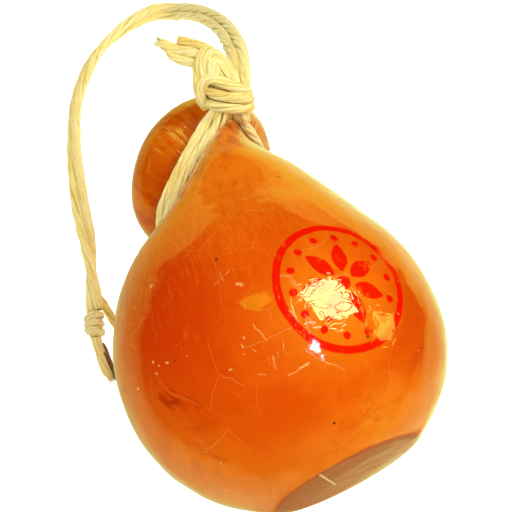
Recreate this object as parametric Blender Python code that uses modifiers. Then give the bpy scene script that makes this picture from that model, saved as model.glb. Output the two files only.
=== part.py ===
"""Pear-shaped provolone lying on its side, with the twine it was hung by.

The cheese is one solid: a round body with a pressed flat base, a shoulder drawn up towards the
knot, a groove where the noose bites, and a flattened round head bent down beside the knot.
It lies along Y, base towards -Y and head towards +Y, and touches the ground with a small
flat under the body and another under the head. The doubled twine loop rests on the ground.

Metres, +Z up. Everything is placed from the body's centre, which an empty carries.
"""

import math
from collections import namedtuple

import bmesh
import bpy
from mathutils import Vector

MM = 0.001

# ---- driving dimensions ----
BODY_RADIUS = 62 * MM
BODY_WIDTH = 1.02 * BODY_RADIUS        # half width across X
GROUND_DEPTH = 60.8 * MM               # body centre to the ground: the round side has sagged flat
BODY_CENTRE = (0.6 * MM, -39.5 * MM, GROUND_DEPTH)
BASE_DEPTH = 55.2 * MM                 # body centre to the flat base
BASE_TURN = math.radians(6)          # the base faces a little towards +X
HEAD_RADIUS = 35.4 * MM
HEAD_HALF_THICKNESS = 22.3 * MM
HEAD_CENTRE = Vector((-0.3, 95.4, -27.5)) * MM
HEAD_PITCH = math.radians(-19.3)
HEAD_YAW = math.radians(30)
NECK_CENTRE = Vector((-0.8, 75.6, -11.0)) * MM
NECK_HALF_WIDTH = 27.2 * MM            # at the bottom of the groove
NECK_HALF_HEIGHT = 29.6 * MM
NECK_PITCH = math.radians(-19.4)
NECK_YAW = math.radians(29.9)
NECK_ROLL = math.radians(28.3)         # the crest leans towards the knot
NECK_PINCH = 0.51
LIP_HEIGHT = 2.6 * MM                  # the shoulder's edge above the groove
GROOVE_HALF_LENGTH = 4.3 * MM
LIP_SETBACK = 6.6 * MM                 # and its distance from the middle of the groove
NOOSE_START = math.radians(107)        # angles round the neck where the noose leaves the knot
NOOSE_END = math.radians(433)
NOOSE_STRAND = 3.5 * MM                # twine diameter where it is drawn tight
KNOT_RISE = Vector((0.3, 0.85, 0.44))  # the bands of the knot lie side by side along this
BAND_DIAMETER = 4.8 * MM
LOOP_STRAND = 4.2 * MM                 # the same twine, slack
CLEARANCE = 0.35 * MM                  # between pieces that touch

# ---- fineness of the solids ----
SEGMENTS = 48
RING_SPACING = 6 * MM
BODY_STEP = math.radians(9)
HEAD_STEP = math.radians(15)
BODY_LAST_ANGLE = math.radians(76)    # the round body gives way to the shoulder here
HEAD_FIRST_ANGLE = math.radians(62)    # the groove gives way to the head here
POLE_ANGLE = math.radians(4)
TUBE_STEP = 2.4                        # tube points, in diameters

# Angles round a section run from +X (its right) to its crest at 90 degrees.
Section = namedtuple("Section", "centre half_width half_height pitch yaw roll pinch", defaults=(0.0, 0.0))


# ---- helpers ----
def clear_scene():
    for item in list(bpy.data.objects):
        bpy.data.objects.remove(item, do_unlink=True)


def new_collection(name):
    collection = bpy.data.collections.new(name)
    bpy.context.scene.collection.children.link(collection)
    return collection


def make_material(name, colour, roughness):
    material = bpy.data.materials.new(name)
    material.use_nodes = True
    shader = material.node_tree.nodes["Principled BSDF"]
    shader.inputs["Base Color"].default_value = (*colour, 1.0)
    shader.inputs["Roughness"].default_value = roughness
    shader.inputs["Metallic"].default_value = 0.0
    return material


def add_object(name, data, collection, material, parent):
    item = bpy.data.objects.new(name, data)
    collection.objects.link(item)
    item.data.materials.append(material)
    item.parent = parent
    return item


def heading(pitch, yaw, roll=0.0):
    """Axis, right and up directions of something that points along +Y before it is turned."""
    axis = Vector((-math.sin(yaw) * math.cos(pitch), math.cos(yaw) * math.cos(pitch), math.sin(pitch)))
    right = axis.cross(Vector((0.0, 0.0, 1.0))).normalized()
    up = right.cross(axis)
    rolled_right = right * math.cos(roll) - up * math.sin(roll)
    return axis, rolled_right, rolled_right.cross(axis)


def spline_points(knots, count_between):
    """Centripetal Catmull-Rom curve through the knots, with a chosen number of steps in each span."""
    padded = [2 * knots[0] - knots[1], *knots, 2 * knots[-1] - knots[-2]]
    points = []
    for index in range(1, len(padded) - 2):
        before, start, end, after = padded[index - 1:index + 3]
        times = [0.0]
        for first, second in ((before, start), (start, end), (end, after)):
            times.append(times[-1] + max(math.sqrt((second - first).length), 1e-6))
        steps = count_between(start, end)
        for step in range(steps):
            t = times[1] + (times[2] - times[1]) * step / steps
            a1 = before.lerp(start, (t - times[0]) / (times[1] - times[0]))
            a2 = start.lerp(end, (t - times[1]) / (times[2] - times[1]))
            a3 = end.lerp(after, (t - times[2]) / (times[3] - times[2]))
            b1 = a1.lerp(a2, (t - times[0]) / (times[2] - times[0]))
            b2 = a2.lerp(a3, (t - times[1]) / (times[3] - times[1]))
            points.append(b1.lerp(b2, (t - times[1]) / (times[2] - times[1])))
    points.append(knots[-1].copy())
    return points


def evenly_spaced(points, spacing):
    """The same open path, with points an equal distance apart."""
    lengths = [0.0]
    for first, second in zip(points, points[1:]):
        lengths.append(lengths[-1] + (second - first).length)
    count = max(2, round(lengths[-1] / spacing))
    even = []
    span = 0
    for step in range(count + 1):
        target = lengths[-1] * step / count
        while span < len(points) - 2 and lengths[span + 1] < target:
            span += 1
        share = (target - lengths[span]) / (lengths[span + 1] - lengths[span])
        even.append(points[span].lerp(points[span + 1], share))
    return even


def add_tube(name, path, diameter, collection, material, parent, taper=(1.0, 1.0)):
    """Round tube with filled caps; taper scales its two ends."""
    curve = bpy.data.curves.new(name, "CURVE")
    curve.dimensions = "3D"
    curve.resolution_u = 1
    curve.render_resolution_u = 0
    curve.bevel_depth = diameter / 2
    curve.bevel_resolution = 2
    curve.use_fill_caps = True
    spline = curve.splines.new("POLY")
    spline.points.add(len(path) - 1)
    for index, position in enumerate(path):
        share = index / (len(path) - 1)
        spline.points[index].co = (*position, 1.0)
        spline.points[index].radius = taper[0] + (taper[1] - taper[0]) * share
    return add_object(name, curve, collection, material, parent)


def smooth_route(route, diameter):
    knots = [Vector(point) * MM for point in route]
    fine = spline_points(knots, lambda start, end: 8)
    return evenly_spaced(fine, TUBE_STEP * diameter)


# ---- cheese ----
def section_ring(section, angles=None):
    """Points round one cross-section; pinch draws its top in to a narrow crest."""
    axis, right, up = heading(section.pitch, section.yaw, section.roll)
    if angles is None:
        angles = [2 * math.pi * index / SEGMENTS for index in range(SEGMENTS)]
    ring = []
    for angle in angles:
        rise = max(math.sin(angle), 0.0)
        across = math.cos(angle) * section.half_width * (1 - section.pinch * rise ** 1.5)
        upward = math.sin(angle) * section.half_height * (1 + 0.35 * section.pinch * rise ** 2)
        ring.append(section.centre + right * across + up * upward)
    return ring


def body_sections():
    sections = []
    count = round((BODY_LAST_ANGLE - POLE_ANGLE) / BODY_STEP)
    for index in range(count + 1):
        angle = POLE_ANGLE + (BODY_LAST_ANGLE - POLE_ANGLE) * index / count
        centre = Vector((0.0, -math.cos(angle) * BODY_RADIUS, 0.0))
        sections.append(Section(centre, math.sin(angle) * BODY_WIDTH, math.sin(angle) * BODY_RADIUS, 0.0, 0.0))
    return sections


def shoulder_sections():
    """The shoulder leans towards the knot and narrows to the lip above the noose."""
    rows = (
        # centre x, y, z, half width, half height, pitch, yaw, roll, pinch
        (-0.9, -2.0, 0.0, 61.9, 61.8, 0, 0, 0, 0.00),
        (-1.5, 13.0, 0.0, 60.4, 59.8, 0, 0, 0, 0.00),
        (-1.7, 29.2, 0.0, 54.1, 53.5, -1, -1, 0, 0.00),
        (-1.0, 45.2, 1.0, 44.0, 42.8, -3, 0, 0, 0.00),
        (-1.3, 57.8, 0.0, 34.3, 36.0, -10, 15, 4, 0.17),
    )
    sections = []
    for x, y, z, half_width, half_height, pitch, yaw, roll, pinch in rows:
        turns = [math.radians(angle) for angle in (pitch, yaw, roll)]
        sections.append(Section(Vector((x, y, z)) * MM, half_width * MM, half_height * MM, *turns, pinch))
    sections.append(neck_section(-LIP_SETBACK, LIP_HEIGHT))
    return sections


def neck_section(along, grow=0.0):
    """Section across the neck, a distance along it from the middle of the groove."""
    axis = heading(NECK_PITCH, NECK_YAW)[0]
    centre = NECK_CENTRE + axis * along
    return Section(centre, NECK_HALF_WIDTH + grow, NECK_HALF_HEIGHT + grow,
                   NECK_PITCH, NECK_YAW, NECK_ROLL, NECK_PINCH)


def head_sections():
    axis, right, up = heading(HEAD_PITCH, HEAD_YAW)
    last_angle = math.pi - POLE_ANGLE
    count = round((last_angle - HEAD_FIRST_ANGLE) / HEAD_STEP)
    sections = []
    for index in range(count + 1):
        angle = HEAD_FIRST_ANGLE + (last_angle - HEAD_FIRST_ANGLE) * index / count
        centre = HEAD_CENTRE - axis * math.cos(angle) * HEAD_HALF_THICKNESS
        radius = math.sin(angle) * HEAD_RADIUS
        sections.append(Section(centre, radius, radius, HEAD_PITCH, HEAD_YAW))
    return sections


def press_flat(point, normal, depth, softness):
    """Push back what stands out past a plane, with a rounded rim."""
    excess = point.dot(normal) - depth
    if excess <= -softness:
        return point
    kept = 0.0 if excess >= softness else -((softness - excess) ** 2) / (4 * softness)
    return point - normal * (excess - kept)


def pressed(point):
    base_normal = Vector((math.sin(BASE_TURN), -math.cos(BASE_TURN), 0.0))
    point = press_flat(point, base_normal, BASE_DEPTH, 1.5 * MM)
    return press_flat(point, Vector((0.0, 0.0, -1.0)), GROUND_DEPTH, 0.4 * MM)


def loft_rings(sections):
    """Rings through every section, and between them where they are further apart than the spacing."""
    rings = [section_ring(section) for section in sections]

    def steps_between(index):
        gaps = [(b - a).length for a, b in zip(rings[index], rings[index + 1])]
        return max(1, math.ceil(sum(gaps) / len(gaps) / RING_SPACING))

    steps = [steps_between(index) for index in range(len(rings) - 1)]
    columns = []
    for segment in range(SEGMENTS):
        remaining = iter(steps)
        knots = [ring[segment] for ring in rings]
        columns.append(spline_points(knots, lambda start, end: next(remaining)))
    return [[column[row] for column in columns] for row in range(len(columns[0]))]


def make_cheese(collection, material, parent):
    sections = body_sections() + shoulder_sections()
    sections += [neck_section(-GROOVE_HALF_LENGTH), neck_section(GROOVE_HALF_LENGTH)]
    sections += head_sections()
    rings = loft_rings(sections)

    mesh = bmesh.new()
    grid = [[mesh.verts.new(pressed(point)) for point in ring] for ring in rings]
    head_axis = heading(HEAD_PITCH, HEAD_YAW)[0]
    base_pole = mesh.verts.new(pressed(Vector((0.0, -BODY_RADIUS, 0.0))))
    head_pole = mesh.verts.new(pressed(HEAD_CENTRE + head_axis * HEAD_HALF_THICKNESS))
    for segment in range(SEGMENTS):
        following = (segment + 1) % SEGMENTS
        mesh.faces.new((base_pole, grid[0][segment], grid[0][following]))
        mesh.faces.new((head_pole, grid[-1][following], grid[-1][segment]))
        for near, far in zip(grid, grid[1:]):
            mesh.faces.new((near[segment], far[segment], far[following], near[following]))
    bmesh.ops.recalc_face_normals(mesh, faces=mesh.faces)
    data = bpy.data.meshes.new("cheese")
    mesh.to_mesh(data)
    mesh.free()
    data.shade_smooth()
    return add_object("cheese", data, collection, material, parent)


# ---- twine round the neck ----
def make_noose(collection, material, parent):
    """Two strands side by side in the groove, from the knot down one side, under and up the other."""
    count = 40
    angles = [NOOSE_START + (NOOSE_END - NOOSE_START) * index / count for index in range(count + 1)]
    for name, side in (("noose_strand_shoulder_side", -0.5), ("noose_strand_head_side", 0.5)):
        along = side * (NOOSE_STRAND + CLEARANCE)
        path = section_ring(neck_section(along, NOOSE_STRAND / 2 + CLEARANCE), angles)
        path = evenly_spaced(path, 1.3 * NOOSE_STRAND)
        add_tube(name, path, NOOSE_STRAND, collection, material, parent)


def wound_outline(length, radius, turns):
    """Half outline, top to bottom, that swells once for each turn of twine."""
    swell = length / turns / 2
    outline = [(0.0, length)]
    for turn in range(turns):
        middle = length - swell * (2 * turn + 1)
        for angle in (60, 20, -20, -60):
            reach = radius - swell * (1 - math.cos(math.radians(angle)))
            outline.append((reach, middle + swell * math.sin(math.radians(angle))))
    return outline + [(0.0, 0.0)]


def round_ended_outline(length, radius):
    """Half outline, top to bottom, of a straight strand with round ends."""
    turns = [math.radians(angle) for angle in (60, 30, 0)]
    top = [(radius * math.cos(turn), length - radius * (1 - math.sin(turn))) for turn in turns]
    bottom = [(reach, length - height) for reach, height in reversed(top)]
    return [(0.0, length), *top, *bottom, (0.0, 0.0)]


def add_turned(name, start, end, outline, collection, material, parent):
    """Half outline turned about the line from start to end."""
    data = bpy.data.meshes.new(name)
    edges = [(index, index + 1) for index in range(len(outline) - 1)]
    data.from_pydata([(reach, 0.0, height) for reach, height in outline], edges, [])
    turned = add_object(name, data, collection, material, parent)
    turned.location = start
    turned.rotation_mode = "QUATERNION"
    turned.rotation_quaternion = (end - start).to_track_quat("Z", "Y")
    screw = turned.modifiers.new("turn", "SCREW")
    screw.steps = 14
    screw.render_steps = 14
    screw.use_merge_vertices = True
    screw.merge_threshold = 0.01 * MM
    return turned


def make_neck_knot(collection, cutters, material, parent):
    """Two bands side by side across the neck, the strands inside them, and five turns along the tails."""
    left = Vector((5.6, 95.6, 27.0)) * MM
    right = Vector((18.6, 89.6, 26.6)) * MM
    spread = KNOT_RISE.normalized() * BAND_DIAMETER / 2
    band = round_ended_outline((right - left).length + BAND_DIAMETER, BAND_DIAMETER / 2)
    reach = (right - left).normalized() * BAND_DIAMETER / 2
    knot = add_turned("neck_knot", left - reach - spread, right - spread, band, collection, material, parent)
    inner = round_ended_outline((right - left).length + 0.6 * BAND_DIAMETER, 0.85 * BAND_DIAMETER)
    sink = Vector((0.0, 0.0, -0.9 * MM))
    low = Vector((7.2, 94.0, 27.0)) * MM
    high = Vector((11.2, 117.0, 27.6)) * MM
    parts = (
        ("neck_knot_upper_band", left - reach + spread * 0.8, right + spread * 0.8, band),
        ("neck_knot_inner_strands", left - reach * 0.6 + sink, right + sink, inner),
        ("neck_knot_turns", low, high, wound_outline((high - low).length, 6.0 * MM, 5)),
    )
    for name, start, end, outline in parts:
        part = add_turned(name, start, end, outline, cutters, material, parent)
        part.hide_render = True
        part.display_type = "WIRE"
        join = knot.modifiers.new("join " + name, "BOOLEAN")
        join.operation = "UNION"
        join.object = part


KNOT_TAIL_LONG = ((2.0, 116.6, 27.5), (-1.0, 122.8, 26.5), (-4.1, 129.4, 24.4), (-6.9, 136.0, 22.2))
KNOT_TAIL_SHORT = ((7.4, 119.8, 27.4), (4.8, 123.8, 26.8), (2.0, 128.7, 25.8))


def make_knot_tails(collection, material, parent):
    long_path = [Vector(point) * MM for point in KNOT_TAIL_LONG]
    short_path = [Vector(point) * MM for point in KNOT_TAIL_SHORT]
    add_tube("knot_tail_long", long_path, 6.2 * MM, collection, material, parent, taper=(1.0, 0.6))
    add_tube("knot_tail_short", short_path, 3.2 * MM, collection, material, parent)


# ---- hanging loop, lying on the ground ----
LOOP_ROUTE = (
    (18.5, 98.5, 27.0), (20.5, 105.5, 26.5), (23.0, 115.0, 23.0), (25.0, 126.5, 14.5), (27.5, 144.0, -0.5),
    (28.0, 164.0, -18.5), (26.5, 181.5, -35.5), (23.0, 193.5, -47.5), (18.0, 201.5, -54.0),
    (12.0, 204.5, -56.4), (4.0, 204.0, -56.4), (-6.5, 200.5, -56.4), (-16.0, 195.5, -56.4),
    (-25.0, 188.5, -56.4), (-38.0, 170.5, -56.4), (-46.0, 148.5, -56.4), (-51.5, 122.5, -56.4),
    (-55.0, 94.0, -56.4), (-57.5, 80.0, -56.4), (-60.6, 63.6, -56.4),
)
END_KNOT = ((-60.9, 62.6, -56.0), (-63.6, 50.4, -56.0))
END_TAIL_CUT = ((-63.8, 49.4, -57.9), (-64.0, 41.8, -58.1), (-63.8, 35.4, -58.3), (-63.3, 29.3, -58.5))
END_TAIL_TUCKED = ((-55.2, 61.6, -59.0), (-54.6, 57.0, -59.0), (-53.4, 52.6, -59.0), (-51.4, 48.4, -59.0))


def make_hanging_loop(collection, material, parent):
    width = 2 * LOOP_STRAND
    add_tube("hanging_loop", smooth_route(LOOP_ROUTE, width), width, collection, material, parent)
    start, end = (Vector(point) * MM for point in END_KNOT)
    outline = wound_outline((end - start).length, 4.1 * MM, 3)
    add_turned("end_knot", start, end, outline, collection, material, parent)
    for name, route, diameter in (
        ("end_tail_cut", END_TAIL_CUT, 4.2 * MM),
        ("end_tail_tucked", END_TAIL_TUCKED, 3.4 * MM),
    ):
        path = [Vector(point) * MM for point in route]
        add_tube(name, path, diameter, collection, material, parent, taper=(1.0, 0.8))


def build():
    clear_scene()
    pieces = new_collection("provolone")
    cutters = new_collection("provolone_cutters")
    rind = make_material("rind", (0.72, 0.22, 0.02), 0.25)
    twine = make_material("twine", (0.82, 0.62, 0.22), 0.8)

    origin = bpy.data.objects.new("body_centre", None)
    origin.location = BODY_CENTRE
    pieces.objects.link(origin)

    make_cheese(pieces, rind, origin)
    make_noose(pieces, twine, origin)
    make_neck_knot(pieces, cutters, twine, origin)
    make_knot_tails(pieces, twine, origin)
    make_hanging_loop(pieces, twine, origin)


build()
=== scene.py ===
"""Dressed provolone: waxed rind, stamp, twisted twine, pale floor and studio light. Metres, +Z up."""

import math

import bpy
import numpy as np
from mathutils import Euler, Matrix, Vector, noise

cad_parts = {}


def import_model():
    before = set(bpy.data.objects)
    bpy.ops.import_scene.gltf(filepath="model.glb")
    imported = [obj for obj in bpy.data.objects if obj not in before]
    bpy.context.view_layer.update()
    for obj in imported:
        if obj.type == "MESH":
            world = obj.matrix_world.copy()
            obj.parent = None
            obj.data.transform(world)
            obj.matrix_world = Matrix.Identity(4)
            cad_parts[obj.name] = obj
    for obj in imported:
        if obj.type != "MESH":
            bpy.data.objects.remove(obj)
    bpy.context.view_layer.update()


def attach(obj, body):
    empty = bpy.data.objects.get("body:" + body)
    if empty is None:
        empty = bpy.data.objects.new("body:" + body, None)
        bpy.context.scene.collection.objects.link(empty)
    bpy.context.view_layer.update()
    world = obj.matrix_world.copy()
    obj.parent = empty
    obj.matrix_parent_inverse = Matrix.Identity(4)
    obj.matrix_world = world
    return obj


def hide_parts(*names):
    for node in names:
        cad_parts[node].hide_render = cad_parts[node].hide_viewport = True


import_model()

MM = 0.001
BODY_CENTRE = np.array((0.6, -39.5, 60.8))      # mm; routes and sections are measured from it
TOWARDS_VIEWER = np.array((-0.144, -0.413, 0.899))
VIEW_RIGHT = np.array((0.944, -0.330, 0.0))
VIEW_UP = np.array((0.297, 0.849, 0.438))


def unit(v):
    v = np.asarray(v, float)
    return v / np.maximum(np.linalg.norm(v, axis=-1, keepdims=True), 1e-12)


def world(points):
    """Millimetres from the body's centre to metres in the row frame."""
    return (np.asarray(points, float) + BODY_CENTRE) * MM


# ---------------------------------------------------------------- camera
camera = bpy.data.objects.new("camera", bpy.data.cameras.new("camera"))
bpy.context.scene.collection.objects.link(camera)
bpy.context.scene.camera = camera
camera.location = Vector(world((-69.6, -172.3, 459.9)))
aim = Vector(world((2.0, 32.6, 13.9)))
camera.rotation_euler = (aim - camera.location).to_track_quat("-Z", "Y").to_euler()
camera.data.lens = 92.02
camera.data.sensor_width = 36
camera.data.clip_start = 0.02
camera.data.clip_end = 30


# ---------------------------------------------------------------- shader helpers
def linear(*rgb):
    """Linear colour of an 8-bit display colour."""
    parts = [c / 255 for c in rgb]
    return tuple(c / 12.92 if c <= 0.04045 else ((c + 0.055) / 1.055) ** 2.4 for c in parts)


class Value:
    """One node output, with arithmetic."""

    def __init__(self, shade, socket):
        self.shade, self.socket = shade, socket

    def __add__(self, other):
        return self.shade.math("ADD", self, other)

    def __radd__(self, other):
        return self.shade.math("ADD", other, self)

    def __sub__(self, other):
        return self.shade.math("SUBTRACT", self, other)

    def __rsub__(self, other):
        return self.shade.math("SUBTRACT", other, self)

    def __mul__(self, other):
        return self.shade.math("MULTIPLY", self, other)


class Shade:
    """A node material written as expressions."""

    def __init__(self, name):
        self.material = bpy.data.materials.new(name)
        self.material.use_nodes = True
        self.tree = self.material.node_tree
        self.shader = self.tree.nodes["Principled BSDF"]
        self.output = self.tree.nodes["Material Output"]

    def put(self, socket, value):
        if isinstance(value, Value):
            self.tree.links.new(value.socket, socket)
        else:
            if hasattr(value, "__len__") and len(value) == 3 and len(socket.default_value) == 4:
                value = (*value, 1.0)
            socket.default_value = value

    def node(self, kind, inputs, out=0, **settings):
        node = self.tree.nodes.new(kind)
        for key, value in settings.items():
            setattr(node, key, value)
        for key, value in inputs.items():
            self.put(node.inputs[key], value)
        return Value(self, node.outputs[out])

    def math(self, operation, a, b=None):
        inputs = {0: a} if b is None else {0: a, 1: b}
        return self.node("ShaderNodeMath", inputs, operation=operation)

    def vector(self, operation, a, b=None):
        inputs = {0: a} if b is None else {0: a, 1: b}
        out = "Value" if operation in ("DISTANCE", "DOT_PRODUCT", "LENGTH") else "Vector"
        return self.node("ShaderNodeVectorMath", inputs, out=out, operation=operation)

    def position(self):
        """Object coordinates: the row frame, in metres."""
        return self.node("ShaderNodeTexCoord", {}, out="Object")

    def attribute(self, name, out="Vector"):
        return self.node("ShaderNodeAttribute", {}, out=out, attribute_name=name)

    def join(self, x, y, z):
        return self.node("ShaderNodeCombineXYZ", {0: x, 1: y, 2: z})

    def split(self, value):
        node = self.tree.nodes.new("ShaderNodeSeparateXYZ")
        self.put(node.inputs[0], value)
        return [Value(self, output) for output in node.outputs]

    def ramp(self, value, low, high, start=0.0, end=1.0, smooth=True):
        return self.node("ShaderNodeMapRange", {0: value, 1: low, 2: high, 3: start, 4: end},
                         interpolation_type="SMOOTHSTEP" if smooth else "LINEAR")

    def noise(self, vector, scale, detail=3.0, roughness=0.5, distortion=0.0, out=0):
        return self.node("ShaderNodeTexNoise", {"Vector": vector, "Scale": scale, "Detail": detail,
                                                "Roughness": roughness, "Distortion": distortion}, out=out)

    def cells(self, vector, scale, **settings):
        return self.node("ShaderNodeTexVoronoi", {"Vector": vector, "Scale": scale, "Randomness": 1.0}, **settings)

    def mix(self, a, b, factor, blend="MIX"):
        node = self.tree.nodes.new("ShaderNodeMix")
        node.data_type = "RGBA"
        node.blend_type = blend
        self.put(node.inputs[0], factor)
        self.put(node.inputs[6], a)
        self.put(node.inputs[7], b)
        return Value(self, node.outputs[2])

    def bump(self, height, distance):
        return self.node("ShaderNodeBump", {"Height": height, "Distance": distance, "Strength": 1.0})


# ---------------------------------------------------------------- paths
def spline(knots, steps):
    """Centripetal Catmull-Rom through knots; knots may carry a whole row of points each."""
    knots = [np.asarray(k, float) for k in knots]
    padded = [2 * knots[0] - knots[1], *knots, 2 * knots[-1] - knots[-2]]
    rows = []
    for index in range(1, len(padded) - 2):
        p = padded[index - 1:index + 3]
        t = [0.0]
        for a, b in zip(p, p[1:]):
            gap = np.linalg.norm(b - a, axis=-1, keepdims=True)
            t.append(t[-1] + np.maximum(np.sqrt(gap), 1e-4))
        count = steps if isinstance(steps, int) else steps[index - 1]
        for step in range(count):
            at = t[1] + (t[2] - t[1]) * step / count
            a = [p[i] + (p[i + 1] - p[i]) * (at - t[i]) / (t[i + 1] - t[i]) for i in range(3)]
            b = [a[i] + (a[i + 1] - a[i]) * (at - t[i]) / (t[i + 2] - t[i]) for i in range(2)]
            rows.append(b[0] + (b[1] - b[0]) * (at - t[1]) / (t[2] - t[1]))
    rows.append(knots[-1])
    return np.array(rows)


def lengths(points):
    return np.concatenate([[0.0], np.cumsum(np.linalg.norm(np.diff(points, axis=0), axis=1))])


def resample(points, spacing):
    along = lengths(points)
    count = max(3, int(round(along[-1] / spacing)) + 1)
    target = np.linspace(0, along[-1], count)
    return np.stack([np.interp(target, along, points[:, axis]) for axis in range(3)], axis=1)


def route(points, spacing=0.9):
    return resample(spline(points, 12), spacing)


def tangents(path):
    return unit(np.gradient(path, axis=0))


def turning_frame(path):
    """Side directions that turn as little as possible along the path."""
    ahead = tangents(path)
    side = np.zeros_like(path)
    side[0] = unit(np.cross(ahead[0], TOWARDS_VIEWER))
    for i in range(1, len(path)):
        moved = side[i - 1] - ahead[i] * np.dot(side[i - 1], ahead[i])
        side[i] = unit(moved)
    return ahead, side, np.cross(side, ahead)


# ---------------------------------------------------------------- twine
PLIES_ACROSS = 4.9      # ply radii in a strand's diameter
PLY_OFFSET = 1.45       # ply radii from the strand's middle to a ply's middle


class Twine:
    """Mesh of twisted strands. Points carry fibre coordinates, depth in the strand and a tone. The depth paints shade
    into the crevices between plies; the lowest tones paint shade.
    """

    def __init__(self, seed):
        self.rng = np.random.default_rng(seed)
        self.points, self.faces, self.fibre, self.depth, self.tone = [], [], [], [], []
        self.count = 0

    def tube(self, centre, side, up, half_width, half_height, depth, tone, sides=10):
        n = len(centre)
        angle = np.linspace(0, 2 * np.pi, sides, endpoint=False)
        along = lengths(centre)
        half_width = np.broadcast_to(half_width, (n,))[:, None, None]
        half_height = np.broadcast_to(half_height, (n,))[:, None, None]
        ring = (centre[:, None] + side[:, None] * np.cos(angle)[None, :, None] * half_width
                + up[:, None] * np.sin(angle)[None, :, None] * half_height)
        shift = self.rng.uniform(0, 60)
        fibre = np.zeros((n, sides, 3))
        fibre[..., 0] = np.cos(angle)
        fibre[..., 1] = np.sin(angle)
        fibre[..., 2] = along[:, None] + shift
        # depth of each point, used to paint shade on the side of a ply that faces the strand's middle
        deep = np.clip(0.5 - 0.5 * np.sin(angle), 0, 1)[None, :] * depth
        base = self.count
        self.points.append(ring.reshape(-1, 3))
        self.fibre.append(fibre.reshape(-1, 3))
        self.depth.append(np.broadcast_to(deep, (n, sides)).reshape(-1))
        self.tone.append(np.full(n * sides, tone))
        for row in range(n - 1):
            for k in range(sides):
                a = base + row * sides + k
                b = base + row * sides + (k + 1) % sides
                self.faces.append((a, b, b + sides, a + sides))
        self.count += n * sides
        first = list(range(base, base + sides))
        last = [base + (n - 1) * sides + k for k in range(sides)]
        self.faces += [tuple(reversed(first)), tuple(last)]

    def strand(self, path, diameter, pitch=20.0, phase=0.0, plies=5, tone=0.0, wobble=0.05,
               taper=(1.0, 1.0), squash=1.0, grow=1.0, tone_spread=0.24):
        """Plies wound round one path. Diameter and pitch in mm; the taper takes 3 mm at each end."""
        ahead, side, up = turning_frame(path)
        along = lengths(path)
        size = np.interp(along, [0, 3, max(along[-1] - 3, 3.1), along[-1] + 1e-3], [taper[0], 1, 1, taper[1]])
        swell = np.array([noise.noise(Vector((a * 0.11, diameter, phase))) for a in along])
        size = size * (1 + wobble * swell) * grow
        radius = diameter / PLIES_ACROSS
        for ply in range(plies):
            drift = np.array([noise.noise(Vector((a * 0.07, ply * 9.1, phase + 3))) for a in along])
            angle = phase + 2 * np.pi * (ply / plies + along / pitch) + 0.35 * drift
            out = side * np.cos(angle)[:, None] + up * np.sin(angle)[:, None] * squash
            centre = path + out * (radius * PLY_OFFSET * size)[:, None]
            outward = unit(out)
            across = unit(np.cross(ahead, outward))
            shade = tone + self.rng.uniform(-tone_spread, tone_spread)
            self.tube(centre, across, outward, radius * size * 1.12, radius * size * 1.06, 1.0, shade)

    def hairs(self, path, reach, count, length=(6, 16), lift=0.5, thick=0.05, tone=0.1):
        """Stray fibres lying along a path and lifting from it."""
        _, side, up = turning_frame(path)
        along = lengths(path)
        for _ in range(count):
            size = self.rng.uniform(*length)
            start = self.rng.uniform(0, max(along[-1] - size, 0.1))
            where = np.linspace(start, min(start + size, along[-1]), 7)
            angle = self.rng.uniform(0, 2 * np.pi) + np.linspace(0, self.rng.uniform(-1.2, 1.2), 7)
            rise = reach + lift * self.rng.uniform(0.2, 1.0) * np.linspace(-0.3, 1, 7) ** 2
            spot = np.stack([np.interp(where, along, path[:, i]) for i in range(3)], axis=1)
            s = np.stack([np.interp(where, along, side[:, i]) for i in range(3)], axis=1)
            u = np.stack([np.interp(where, along, up[:, i]) for i in range(3)], axis=1)
            hair = spot + (s * np.cos(angle)[:, None] + u * np.sin(angle)[:, None]) * rise[:, None]
            _, a, b = turning_frame(hair)
            self.tube(hair, a, b, thick, thick, 0.0, tone, sides=4)

    def fray(self, tip, direction, spread, count, length=(1.5, 4.0), thick=0.12, tone=0.2):
        """Loose fibre ends fanning from a cut."""
        direction = unit(direction)
        first = unit(np.cross(direction, TOWARDS_VIEWER))
        second = np.cross(direction, first)
        for _ in range(count):
            a, b = self.rng.uniform(-1, 1, 2)
            start = np.asarray(tip) + (first * a * spread[0] + second * b * spread[1])
            size = self.rng.uniform(*length)
            lean = first * (a * 0.35 + self.rng.normal(0, 0.12)) + second * (b * 0.3 + self.rng.normal(0, 0.1))
            steps = np.linspace(-0.6, 1, 6)[:, None] * size
            hair = start + direction * steps + lean * np.maximum(steps, 0) ** 1.5 / math.sqrt(size)
            _, s, u = turning_frame(hair)
            self.tube(hair, s, u, np.linspace(thick, thick * 0.5, 6), np.linspace(thick, thick * 0.5, 6), 0.1,
                      tone + self.rng.uniform(-0.1, 0.2), sides=5)

    def build(self, name, material, *nodes):
        points = world(np.concatenate(self.points))
        points[:, 2] = np.maximum(points[:, 2], 0.0001)
        mesh = bpy.data.meshes.new(name)
        mesh.from_pydata(points.tolist(), [], self.faces)
        fibre = mesh.attributes.new("fibre", "FLOAT_VECTOR", "POINT")
        fibre.data.foreach_set("vector", np.concatenate(self.fibre).ravel())
        for key, values in (("depth", self.depth), ("tone", self.tone)):
            layer = mesh.attributes.new(key, "FLOAT", "POINT")
            layer.data.foreach_set("value", np.concatenate(values))
        mesh.shade_smooth()
        mesh.materials.append(material)
        item = bpy.data.objects.new(name, mesh)
        bpy.context.scene.collection.objects.link(item)
        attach(item, "root")
        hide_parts(*nodes)
        return item


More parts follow.
